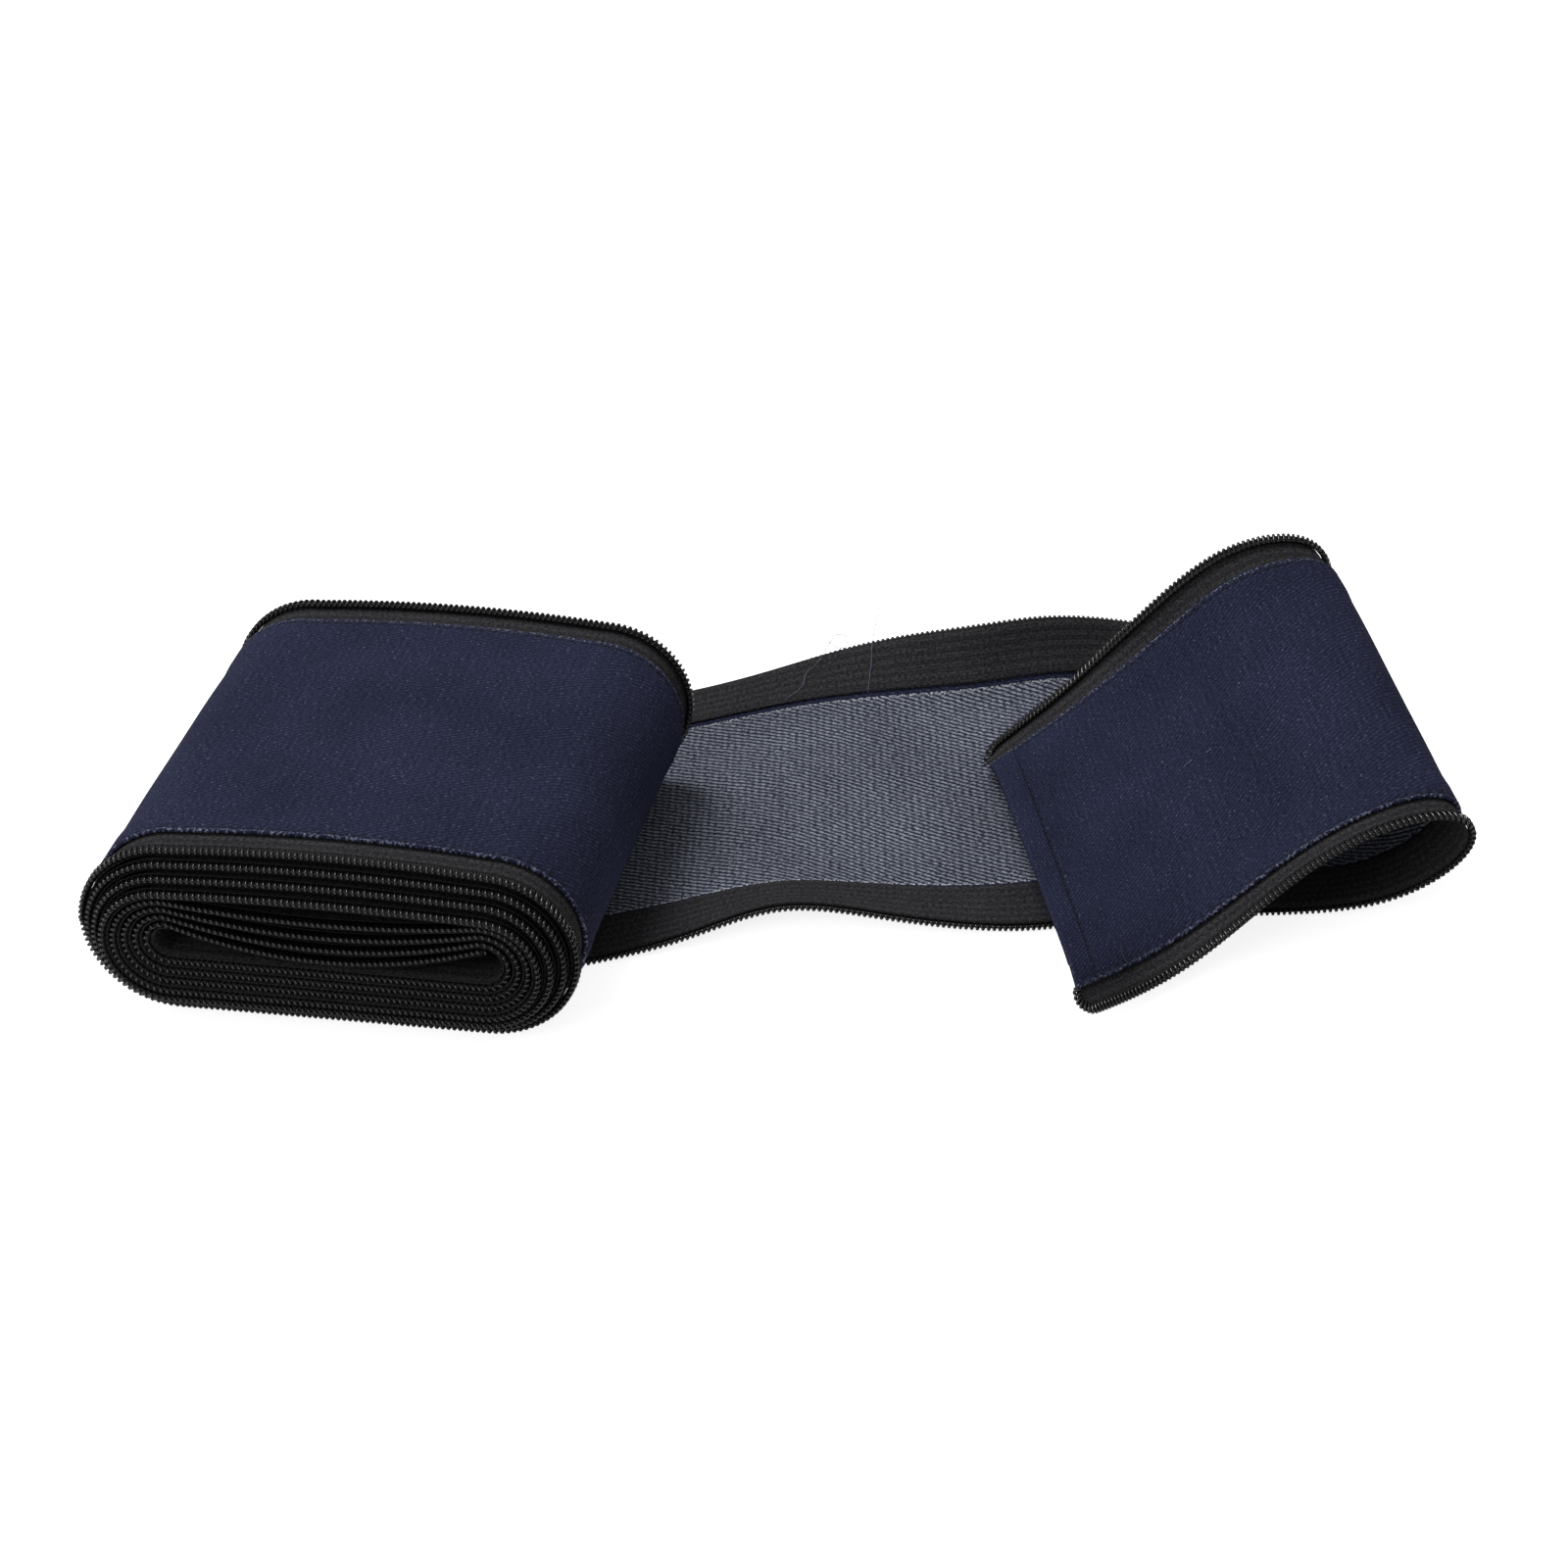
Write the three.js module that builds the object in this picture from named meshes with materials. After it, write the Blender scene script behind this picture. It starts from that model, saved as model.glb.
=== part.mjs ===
// Zippered cable sleeve: a long denim strip with a zip tape and a coil of teeth along each edge.
// It is rolled up. Its outer end runs out along the floor, loops up and lies folded back.
// X runs from the roll towards the loop, Y along the roll's axis from front to back, Z up.
// Places across the strip are measured from the front coil's outer edge. Depths are measured
// from the strip's light inner face, which looks into the roll, towards its dark outer face.
import * as THREE from "three";

// Strip, in millimetres
const STRIP_WIDTH = 115;
const TAPE_WIDTH = 15.8;
const TAPE_THICKNESS = 0.5;
const DENIM_THICKNESS = 0.6;
const FOLD_PAST_TAPE = 1.3;
const PLY_GAP = 0.2;

// Zip coil, and how it sits on the tape
const COIL_WIDTH = 3.3;
const COIL_HEIGHT = 1.7;
const COIL_TOP_WIDTH = 2.1;
const COIL_OVERHANG = 1.2;
const COIL_TO_DENIM = 6.2;

// Hems at the two ends of the strip: a second ply on the light side, between the tapes
const OUTER_HEM_LENGTH = 11;
const INNER_HEM_LENGTH = 8;
const HEM_STEP_LENGTH = 0.6;

// Roll, seen from the front: turns round a flat core
const TURNS = 7.6;
const TURN_PITCH = 2.65;
const CORE_HALF_WIDTH = 43;
const CORE_END_RADIUS = 3.2;
const TOP_CROWN_PER_TURN = 0.25;
const STATIONS_PER_TURN = 16;
const END_ARC_STATIONS = 6;

// The inner turns are slack: their top side sags on to the ones below
const SLACK_TURNS = 4;
const SLACK_SAG = 7.5;

// The last slack turn stands out most at the front. The other turns stand back from it.
const INNER_SET_BACK = 3;
const OUTER_SET_BACK = 8.5;

// Slant of the turns: how far they lie towards the back for each millimetre right and up
const SLANT = 0.105;
const LEAN = 0.08;

// Drift of the outer turn to the back, from the roll's left side to where the free end starts
const EXIT_X = 36;
const EXIT_DRIFT = 30;
const EXIT_SKEW = 11.7;
const EXIT_STATIONS = 18;

// Free end of the strip. Each row pulls its middle line towards a place, counted from where it
// starts: x, y, height above lying flat, turn of the strip's width seen from above, its slope up
// towards the back, and the bends of the front and back tapes, downwards where they are positive.
const FREE_RUN = [
  [30, 17, 0, 0, 0, -1, 0],
  [53, 33, 0, 0, 0, -26, -6],
  [82, 36, 2.5, 2, 5, -19, -29],
  [112, 42, 4.5, 3, 5.5, -3, -50],
  [128, 49, 6, 3.5, 6.5, -3, -50],
  [164, 62, 5, 6, 5.5, -3, -15],
  [204, 72, 1, 5.5, 5, -13, 12],
  [219, 72, 30, 14, 8, 0, -9],
  [210, 67, 42.5, 14.5, 7.5, 4, 0],
  [187, 57.5, 34, 14, 10.5, 19, 26],
  [169, 44, 20, 11.5, 7, 8, 29],
  [147, 29, 6, 10, 6, -17, 5],
  [128.5, -3, 12, 11.5, 0, -10, -16],
];
const STATIONS_PER_ROW = 3;
const TAPE_BEND_REACH = 30;
const TAPE_BEND_FLAT = 5;

const rad = THREE.MathUtils.degToRad;
const clamp = THREE.MathUtils.clamp;
const lerp = THREE.MathUtils.lerp;
const smoothstep = THREE.MathUtils.smoothstep;

// Depths and places that follow from the sizes above
const denimDepth = TAPE_THICKNESS + PLY_GAP;
const foldedDepth = denimDepth + 2 * DENIM_THICKNESS;
const hemDepth = denimDepth - DENIM_THICKNESS;
const coilDepth = TAPE_THICKNESS + PLY_GAP + COIL_HEIGHT;
const stripDepth = Math.max(coilDepth, foldedDepth);
const denimEdge = COIL_WIDTH + COIL_TO_DENIM;
const tapeInner = COIL_OVERHANG + TAPE_WIDTH;
const middle = STRIP_WIDTH / 2;

// The roll turns counterclockwise, seen from the front, from the strip's inner end to its outer
// end. It leaves the roll at the bottom, so the inner end's place follows from the turns.
const BOTTOM = 0.75;
const LEFT = 0.5;
const firstLap = Math.ceil(TURNS) + BOTTOM - TURNS;
const straight = CORE_HALF_WIDTH - CORE_END_RADIUS;
const arcShare = END_ARC_STATIONS / STATIONS_PER_TURN / 2;
const rollCentre = stripDepth + CORE_END_RADIUS + TURN_PITCH * TURNS;

// How slack a turn is, from 1 at the strip's inner end down to 0.
function slack(turns) {
  return Math.sqrt(Math.max(0, 1 - turns / SLACK_TURNS));
}

// Place and outward normal of the light face in the roll's section, a number of turns from the
// inner end.
function rollSection(turns) {
  const lap = firstLap + turns;
  const share = lap - Math.floor(lap);
  const side = share < LEFT ? 1 : -1;
  const along = share % LEFT;
  const radius = CORE_END_RADIUS + TURN_PITCH * turns;
  const angle = along < arcShare
    ? (Math.PI / 2) * (along / arcShare)
    : Math.PI / 2 + (Math.PI / 2) * Math.max(0, (along - LEFT + arcShare) / arcShare);
  const onFlat = clamp((along - arcShare) / (LEFT - 2 * arcShare), 0, 1);
  const flatX = straight * (1 - 2 * onFlat);
  const bulge = 1 - (flatX / straight) ** 2;
  const lift = side > 0 ? bulge * (TOP_CROWN_PER_TURN * turns - SLACK_SAG * slack(turns)) : 0;
  const normal = new THREE.Vector2(Math.cos(angle), Math.sin(angle)).multiplyScalar(side);
  const place = new THREE.Vector2(side * flatX, rollCentre + lift).addScaledVector(normal, radius);
  return { place, normal };
}

// How far a turn's front edge stands back from the foremost turn.
function setBack(turns) {
  const outward = Math.max(0, turns - SLACK_TURNS) / (TURNS - SLACK_TURNS);
  return OUTER_SET_BACK * outward + INNER_SET_BACK * slack(turns);
}

// Where the front edge of a turn lies, at a place in the roll's section.
function frontEdge(turns, place) {
  return setBack(turns) + SLANT * place.x + LEAN * place.y;
}

// A station holds the strip's shape at one place along it: a function that gives the point at a
// place across the strip and a depth.
function rollStation(turns) {
  const { place, normal } = rollSection(turns);
  const front = frontEdge(turns, place);
  return (across, depth) => new THREE.Vector3(
    place.x + normal.x * depth,
    front + across,
    place.y + normal.y * depth,
  );
}

// The outer turn's last half lap as a line with its length, from the roll's left side to its
// bottom, and then along the floor.
const lastHalfLap = [];
for (let step = 0; step <= 100; step++) {
  const turns = TURNS - (BOTTOM - LEFT) * (1 - step / 100);
  const { place, normal } = rollSection(turns);
  const before = lastHalfLap.at(-1);
  const length = before ? before.length + before.place.distanceTo(place) : 0;
  lastHalfLap.push({ place, normal, length });
}
const toBottom = lastHalfLap.at(-1).length;
const toExit = toBottom + EXIT_X;

// Place and outward normal on that line at a length along it.
function guide(length) {
  if (length >= toBottom) {
    return {
      place: new THREE.Vector2(length - toBottom, stripDepth),
      normal: new THREE.Vector2(0, -1),
    };
  }
  const next = Math.max(1, lastHalfLap.findIndex((point) => point.length > length));
  const [a, b] = [lastHalfLap[next - 1], lastHalfLap[next]];
  const share = (length - a.length) / (b.length - a.length);
  return {
    place: a.place.clone().lerp(b.place, share),
    normal: a.normal.clone().lerp(b.normal, share).normalize(),
  };
}

// A station of the outer turn while it drifts to the back and turns towards the free end.
function exitStation(share) {
  const skew = rad(EXIT_SKEW) * share ** 2;
  const front = frontEdge(TURNS, guide(toExit * share).place);
  const drift = (setBack(TURNS) + EXIT_DRIFT - frontEdge(TURNS, guide(toExit).place)) * share ** 3;
  return (across, depth) => {
    const offset = across - middle;
    const { place, normal } = guide(toExit * share - offset * Math.sin(skew));
    return new THREE.Vector3(
      place.x + normal.x * depth,
      front + middle + drift + offset * Math.cos(skew),
      place.y + normal.y * depth,
    );
  };
}

// The free end's rows, with the first one where the drifting turn ends.
const freeStart = [EXIT_X, setBack(TURNS) + middle + EXIT_DRIFT, stripDepth, 90 + EXIT_SKEW];
const freeRows = [
  [...freeStart, 0, 0, 0],
  ...FREE_RUN.map((row) => row.map((value, i) => value + (freeStart[i] ?? 0))),
];

// Uniform cubic B-spline through the rows' pulls, which starts and ends at the end rows.
function splineRow(t) {
  const last = freeRows.length - 1;
  const row = (i) => {
    const inside = freeRows[clamp(i, 0, last)];
    if (i >= 0 && i <= last) return inside;
    const neighbour = freeRows[i < 0 ? 1 : last - 1];
    return inside.map((value, k) => 2 * value - neighbour[k]);
  };
  const span = Math.min(Math.floor(t), last - 1);
  const u = t - span;
  const weights = [
    (1 - u) ** 3 / 6,
    (3 * u ** 3 - 6 * u ** 2 + 4) / 6,
    (-3 * u ** 3 + 3 * u ** 2 + 3 * u + 1) / 6,
    u ** 3 / 6,
  ];
  const rows = [row(span - 1), row(span), row(span + 1), row(span + 2)];
  return rows[0].map((_, k) => weights.reduce((sum, weight, j) => sum + weight * rows[j][k], 0));
}

// The strip's own cross-section as it bends near its edges: how far it has gone sideways and up
// at each millimetre across, with its slope there.
function bentSection(frontBend, backBend) {
  const reach = TAPE_BEND_REACH;
  const line = [{ across: 0, side: 0, up: 0, slope: 0 }];
  const slopeAt = (across) => {
    const front = smoothstep(reach - across, 0, reach - TAPE_BEND_FLAT);
    const back = smoothstep(across - STRIP_WIDTH + reach, 0, reach - TAPE_BEND_FLAT);
    return rad(frontBend) * front - rad(backBend) * back;
  };
  line[0].slope = slopeAt(0);
  const steps = Math.ceil(STRIP_WIDTH);
  const step = STRIP_WIDTH / steps;
  for (let i = 1; i <= steps; i++) {
    const slope = slopeAt((i - 0.5) * step);
    const before = line[i - 1];
    line.push({
      across: i * step,
      side: before.side + step * Math.cos(slope),
      up: before.up + step * Math.sin(slope),
      slope: slopeAt(i * step),
    });
  }
  const at = (across) => {
    const i = clamp(Math.floor(across / step), 0, steps - 1);
    const share = across / step - i;
    return {
      side: lerp(line[i].side, line[i + 1].side, share),
      up: lerp(line[i].up, line[i + 1].up, share),
      slope: lerp(line[i].slope, line[i + 1].slope, share),
    };
  };
  const centre = at(middle);
  return (across) => {
    const { side, up, slope } = at(across);
    return { side: side - centre.side, up: up - centre.up, slope };
  };
}

function freeStation(t) {
  const [x, y, z, turn, slope, frontBend, backBend] = splineRow(t);
  const ahead = splineRow(Math.min(t + 0.05, freeRows.length - 1));
  const behind = splineRow(Math.max(t - 0.05, 0));
  const along = new THREE.Vector3(...ahead.slice(0, 3)).sub(new THREE.Vector3(...behind.slice(0, 3)));
  const width = new THREE.Vector3(
    Math.cos(rad(slope)) * Math.cos(rad(turn)),
    Math.cos(rad(slope)) * Math.sin(rad(turn)),
    Math.sin(rad(slope)),
  );
  const up = along.cross(width).normalize();
  const section = bentSection(frontBend, backBend);
  return (across, depth) => {
    const bent = section(across);
    return new THREE.Vector3(x, y, z)
      .addScaledVector(width, bent.side + Math.sin(bent.slope) * depth)
      .addScaledVector(up, bent.up - Math.cos(bent.slope) * depth);
  };
}

// The value that a station takes at a length along the strip's middle from another one.
function walk(stationAt, start, length, direction) {
  let value = start;
  let gone = 0;
  let here = stationAt(value)(middle, 0);
  while (gone < length) {
    value += 0.001 * direction;
    const next = stationAt(value)(middle, 0);
    gone += next.distanceTo(here);
    here = next;
  }
  return value;
}

// All stations of the strip, from its inner end to its outer end.
const innerHem = walk(rollStation, 0, INNER_HEM_LENGTH, 1);
const innerPlain = walk(rollStation, innerHem, HEM_STEP_LENGTH, 1);
const stations = [
  { at: rollStation(0), hemmed: true },
  { at: rollStation(innerHem), hemmed: true },
  { at: rollStation(innerPlain), hemmed: false },
];
const rollStep = 1 / STATIONS_PER_TURN;
const rollStart = Math.ceil((firstLap + innerPlain) / rollStep + 0.3) * rollStep - firstLap;
for (let turns = rollStart; turns < TURNS - (BOTTOM - LEFT) - rollStep / 4; turns += rollStep) {
  stations.push({ at: rollStation(turns), hemmed: false });
}
for (let i = 0; i < EXIT_STATIONS; i++) {
  stations.push({ at: exitStation(i / EXIT_STATIONS), hemmed: false });
}
const freeEnd = freeRows.length - 1;
const freeStep = 1 / STATIONS_PER_ROW;
const outerHem = walk(freeStation, freeEnd, OUTER_HEM_LENGTH, -1);
const outerPlain = walk(freeStation, outerHem, HEM_STEP_LENGTH, -1);
for (let t = 0; t < outerPlain - freeStep / 3; t += freeStep) {
  stations.push({ at: freeStation(t), hemmed: false });
}
stations.push({ at: freeStation(outerPlain), hemmed: false });
for (const t of [outerHem, (outerHem + freeEnd) / 2, freeEnd]) {
  stations.push({ at: freeStation(t), hemmed: true });
}

// A closed band along the strip: the same outline, as [across, depth] pairs, at each station.
// Faces are halved from the smaller place across to the larger one, so that two bands that
// face each other bend alike.
function band(outline, hemOutline = outline) {
  const positions = [];
  const indices = [];
  const count = outline.length;
  for (const { at, hemmed } of stations) {
    for (const [across, depth] of hemmed ? hemOutline : outline) {
      positions.push(...at(across, depth));
    }
  }
  for (let i = 0; i + 1 < stations.length; i++) {
    for (let j = 0; j < count; j++) {
      const next = (j + 1) % count;
      const a = i * count + j;
      const b = i * count + next;
      if (outline[j][0] < outline[next][0]) indices.push(a, b + count, b, a, a + count, b + count);
      else indices.push(a, a + count, b, b, a + count, b + count);
    }
  }
  const cap = THREE.ShapeUtils.triangulateShape(hemOutline.map((p) => new THREE.Vector2(...p)), []);
  const end = (stations.length - 1) * count;
  for (const [a, b, c] of cap) {
    indices.push(a, b, c);
    indices.push(end + c, end + b, end + a);
  }
  const geometry = new THREE.BufferGeometry();
  geometry.setAttribute("position", new THREE.Float32BufferAttribute(positions, 3));
  geometry.setIndex(indices);
  geometry.computeVertexNormals();
  return geometry;
}

// The same outline for the strip's back edge, mirrored about its middle.
function mirrored(outline) {
  return outline.map(([across, depth]) => [STRIP_WIDTH - across, depth]).reverse();
}

const coilOutline = [
  [0, coilDepth - COIL_HEIGHT],
  [COIL_WIDTH, coilDepth - COIL_HEIGHT],
  [(COIL_WIDTH + COIL_TOP_WIDTH) / 2, coilDepth],
  [(COIL_WIDTH - COIL_TOP_WIDTH) / 2, coilDepth],
];

const tapeOutline = [
  [COIL_OVERHANG, 0],
  [denimEdge, 0],
  [tapeInner, 0],
  [tapeInner, TAPE_THICKNESS],
  [denimEdge, TAPE_THICKNESS],
  [COIL_WIDTH, TAPE_THICKNESS],
  [COIL_OVERHANG, TAPE_THICKNESS],
];

const foldInner = tapeInner + FOLD_PAST_TAPE;
function denimOutline(lightDepth) {
  const frontHalf = [
    [foldInner, foldedDepth],
    [denimEdge, foldedDepth],
    [denimEdge, denimDepth],
    [tapeInner, denimDepth],
    [foldInner, lightDepth],
    [foldInner, denimDepth + DENIM_THICKNESS],
  ];
  return [...frontHalf, ...mirrored(frontHalf)];
}

const denim = new THREE.MeshStandardMaterial({ color: 0x1b2350, roughness: 0.9, metalness: 0 });
const tape = new THREE.MeshStandardMaterial({ color: 0x18181b, roughness: 0.9, metalness: 0 });
const nylon = new THREE.MeshStandardMaterial({ color: 0x101013, roughness: 0.4, metalness: 0 });

const sleeve = new THREE.Group();

function add(name, geometry, material) {
  const mesh = new THREE.Mesh(geometry, material);
  mesh.name = name;
  sleeve.add(mesh);
}

add("denim_strip", band(denimOutline(denimDepth), denimOutline(hemDepth)), denim);
add("front_tape", band(tapeOutline), tape);
add("back_tape", band(mirrored(tapeOutline)), tape);
add("front_coil", band(coilOutline), nylon);
add("back_coil", band(mirrored(coilOutline)), nylon);

// The origin lies under the middle of the whole part.
const box = new THREE.Box3().setFromObject(sleeve);
const centre = box.getCenter(new THREE.Vector3());
for (const mesh of sleeve.children) {
  mesh.position.set(-centre.x, -centre.y, -box.min.z);
}

export default sleeve;
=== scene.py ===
"""Zippered cable sleeve: a long denim strip with a parted zip along its edges, rolled up.

The strip's outer end runs out of the roll along the floor, loops up and lies folded back.
Shapes are worked out in millimetres and put into meshes in metres. A place on the strip is a
length from its inner end, a place across it from the front coil's outer edge, and a depth
from its light inner face towards its dark outer face.
"""

import logging
import math
from dataclasses import dataclass, field
from enum import Enum

import bpy
import numpy as np
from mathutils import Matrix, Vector

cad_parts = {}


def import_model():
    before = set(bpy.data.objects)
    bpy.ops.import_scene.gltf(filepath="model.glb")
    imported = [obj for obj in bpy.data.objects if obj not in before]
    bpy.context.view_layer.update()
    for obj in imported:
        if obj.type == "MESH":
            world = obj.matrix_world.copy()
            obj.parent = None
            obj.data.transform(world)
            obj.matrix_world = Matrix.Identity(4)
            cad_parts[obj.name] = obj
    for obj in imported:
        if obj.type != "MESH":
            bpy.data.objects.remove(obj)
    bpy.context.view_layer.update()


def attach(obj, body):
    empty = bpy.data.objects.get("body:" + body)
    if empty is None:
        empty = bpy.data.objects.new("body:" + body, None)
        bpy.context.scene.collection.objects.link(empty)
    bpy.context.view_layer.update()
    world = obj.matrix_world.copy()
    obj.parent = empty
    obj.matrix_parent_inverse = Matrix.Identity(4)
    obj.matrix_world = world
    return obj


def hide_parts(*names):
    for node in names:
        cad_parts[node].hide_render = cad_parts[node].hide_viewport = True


LOG = logging.getLogger("cable_sleeve")
MILLIMETRE = 0.001

Colour = tuple[float, float, float, float]


def srgb(red: float, green: float, blue: float) -> Colour:
    """Gives the linear colour of display values from 0 to 255.

    Args:
        red, green, blue: the display values.

    Returns:
        Linear red, green, blue and an alpha of 1.
    """
    values = np.array([red, green, blue]) / 255
    linear = np.where(values <= 0.04045, values / 12.92, ((values + 0.055) / 1.055) ** 2.4)
    return (*(float(value) for value in linear), 1.0)


def smooth(values: np.ndarray, low: float, high: float) -> np.ndarray:
    """Gives 0 below low, 1 above high and a cubic step between them.

    Args:
        values: where to take the step.
        low, high: the step's ends.

    Returns:
        The step's heights.
    """
    share = np.clip((np.asarray(values, float) - low) / (high - low), 0, 1)
    return share * share * (3 - 2 * share)


def unit(vectors: np.ndarray) -> np.ndarray:
    """Scales each vector, along the last axis, to length 1."""
    return vectors / np.linalg.norm(vectors, axis=-1, keepdims=True)


class Edge(Enum):
    """One of the strip's two long edges."""

    FRONT = "front"
    BACK = "back"

    def across(self, width: float, inset: np.ndarray | float) -> np.ndarray | float:
        """Turns a distance in from this edge into a place across a strip of that width."""
        return inset if self is Edge.FRONT else width - inset


class Face(Enum):
    """One of the cloth's two faces, with its material's place on the piece."""

    DARK = 0
    LIGHT = 1


@dataclass
class StripPath:
    """The shape in space of the rolled strip's light face.

    It is worked out once as a table of points and directions: rows along the strip and a column
    each millimetre across it. Everything on the strip is placed through that table.
    """

    width: float = 115.0
    turns: float = 7.6
    pitch: float = 2.65
    core_half_width: float = 43.0
    core_end_radius: float = 3.2
    crown: float = 0.25
    arc_share: float = 0.1875
    slack_turns: float = 4.0
    slack_sag: float = 7.5
    inner_set_back: float = 3.0
    outer_set_back: float = 8.5
    slant: float = 0.105
    lean: float = 0.08
    exit_x: float = 36.0
    exit_drift: float = 30.0
    exit_skew: float = 11.7
    bend_reach: float = 30.0
    bend_flat: float = 5.0
    floor_depth: float = 2.4
    fine_reach: float = 110.0
    wave_height: float = 0.22
    crease_height: float = 1.5
    crease_width: float = 1.5
    crease_from_end: float = 84.5
    crease_slant: float = 0.13
    origin: tuple[float, float, float] = (-106.197, -109.208, 0.0)
    free_run: tuple[tuple[float, ...], ...] = (
        (30, 17, 0, 0, 0, -1, 0),
        (53, 33, 0, 0, 0, -26, -6),
        (82, 36, 2.5, 2, 5, -19, -29),
        (112, 42, 4.5, 3, 5.5, -3, -50),
        (128, 49, 6, 3.5, 6.5, -3, -50),
        (164, 62, 5, 6, 5.5, -3, -15),
        (204, 72, 1, 5.5, 5, -13, 12),
        (219, 72, 30, 14, 8, 0, -9),
        (210, 67, 42.5, 14.5, 7.5, 4, 0),
        (187, 57.5, 34, 14, 10.5, 19, 26),
        (169, 44, 20, 11.5, 7, 8, 29),
        (147, 29, 6, 10, 6, -17, 5),
        (128.5, -3, 12, 11.5, 0, -10, -16),
    )
    middle: float = field(init=False)
    first_lap: float = field(init=False)
    straight: float = field(init=False)
    centre: float = field(init=False)
    columns: np.ndarray = field(init=False)
    places: np.ndarray = field(init=False)
    normals: np.ndarray = field(init=False)
    along: np.ndarray = field(init=False)
    length: float = field(init=False)
    roll_length: float = field(init=False)

    def __post_init__(self) -> None:
        """Works out the table of places and directions."""
        self.middle = self.width / 2
        self.columns = np.arange(0.0, self.width + 0.5)
        self.first_lap = math.ceil(self.turns) + 0.75 - self.turns
        self.straight = self.core_half_width - self.core_end_radius
        self.centre = self.floor_depth + self.core_end_radius + self.pitch * self.turns
        parts = [self._roll(), self._exit(), self._free()]
        self.places = np.concatenate([places for places, _ in parts]) + np.array(self.origin)
        self.normals = unit(np.concatenate([normals for _, normals in parts]))
        self.along = self.line(self.middle)
        self.length = float(self.along[-1])
        self.roll_length = float(self.along[len(parts[0][0])])
        self.places += self._relief()[..., None] * self.normals

    @property
    def fine_start(self) -> float:
        """The length, on the last turn, where the rows of cloth and tape get closer."""
        return self.roll_length - self.fine_reach

    def section(self, turns: np.ndarray) -> tuple[np.ndarray, np.ndarray]:
        """Gives the roll's section: a flat oval whose turns grow by the pitch.

        The ends are quarter arcs round a flat core. The top side is a parabola: it rises with
        each turn, and it sags on the slack inner turns.

        Args:
            turns: numbers of turns from the strip's inner end.

        Returns:
            Places and outward normals, each with X and Z.
        """
        share = (self.first_lap + turns) % 1
        side = np.where(share < 0.5, 1.0, -1.0)
        along = share % 0.5
        radius = self.core_end_radius + self.pitch * turns
        arc = self.arc_share
        after = np.maximum(0, (along - 0.5 + arc) / arc)
        angle = np.pi / 2 * np.where(along < arc, along / arc, 1 + after)
        on_flat = np.clip((along - arc) / (0.5 - 2 * arc), 0, 1)
        flat_x = self.straight * (1 - 2 * on_flat)
        bulge = 1 - (flat_x / self.straight) ** 2
        rise = self.crown * turns - self.slack_sag * self.slack(turns)
        lift = np.where(side > 0, bulge * rise, 0)
        normal = side[..., None] * np.stack([np.cos(angle), np.sin(angle)], axis=-1)
        place = np.stack([side * flat_x, self.centre + lift], axis=-1)
        return place + normal * radius[..., None], normal

    def slack(self, turns: np.ndarray) -> np.ndarray:
        """Gives how slack the turns are: a square root that falls from 1 to 0."""
        return np.sqrt(np.maximum(0, 1 - turns / self.slack_turns))

    def set_back(self, turns: np.ndarray) -> np.ndarray:
        """Gives how far a turn's front edge stands back from the foremost turn."""
        outward = np.maximum(0, turns - self.slack_turns) / (self.turns - self.slack_turns)
        return self.outer_set_back * outward + self.inner_set_back * self.slack(turns)

    def front_edge(self, turns: np.ndarray, place: np.ndarray) -> np.ndarray:
        """Gives where a turn's front edge lies: set back, and further back to the right and up."""
        return self.set_back(turns) + self.slant * place[..., 0] + self.lean * place[..., 1]

    def _roll(self) -> tuple[np.ndarray, np.ndarray]:
        """Gives places and directions of the roll, up to its left side on the last turn."""
        turns = np.linspace(0, self.turns - 0.25, 3000)
        place, normal = self.section(turns)
        front = self.front_edge(turns, place)
        count = len(self.columns)
        places = np.stack(
            [
                np.repeat(place[:, :1], count, axis=1),
                front[:, None] + self.columns,
                np.repeat(place[:, 1:], count, axis=1),
            ],
            axis=-1,
        )
        flat = np.stack([normal[:, 0], np.zeros(len(turns)), normal[:, 1]], axis=-1)
        return places, np.repeat(flat[:, None], count, axis=1)

    def _exit(self) -> tuple[np.ndarray, np.ndarray]:
        """Gives the last quarter turn and the start of the floor, while the strip turns.

        The strip drifts to the back by the cube of the share gone, and skews by its square.
        """
        place, normal = self.section(self.turns - 0.25 * (1 - np.linspace(0, 1, 101)))
        steps = np.linalg.norm(np.diff(place, axis=0), axis=1)
        gone = np.concatenate([[0.0], np.cumsum(steps)])
        to_exit = gone[-1] + self.exit_x
        share = np.linspace(0, 1, 300, endpoint=False)
        skew = np.radians(self.exit_skew) * share**2
        outer = np.array(self.turns)
        front = self.front_edge(outer, self._guide(to_exit * share, gone, place))
        exit_place = self._guide(np.array([to_exit]), gone, place)
        ahead = self.set_back(outer) + self.exit_drift - self.front_edge(outer, exit_place)
        drift = ahead * share**3
        offset = self.columns - self.middle
        wrapped = to_exit * share[:, None] - offset * np.sin(skew)[:, None]
        point = self._guide(wrapped, gone, place)
        facing = self._guide(wrapped, gone, normal, beyond=(0.0, 0.0))
        y = (front + self.middle + drift)[:, None] + offset * np.cos(skew)[:, None]
        places = np.stack([point[..., 0], y, point[..., 1]], axis=-1)
        zeros = np.zeros(y.shape)
        return places, np.stack([facing[..., 0], zeros, facing[..., 1]], axis=-1)

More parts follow.
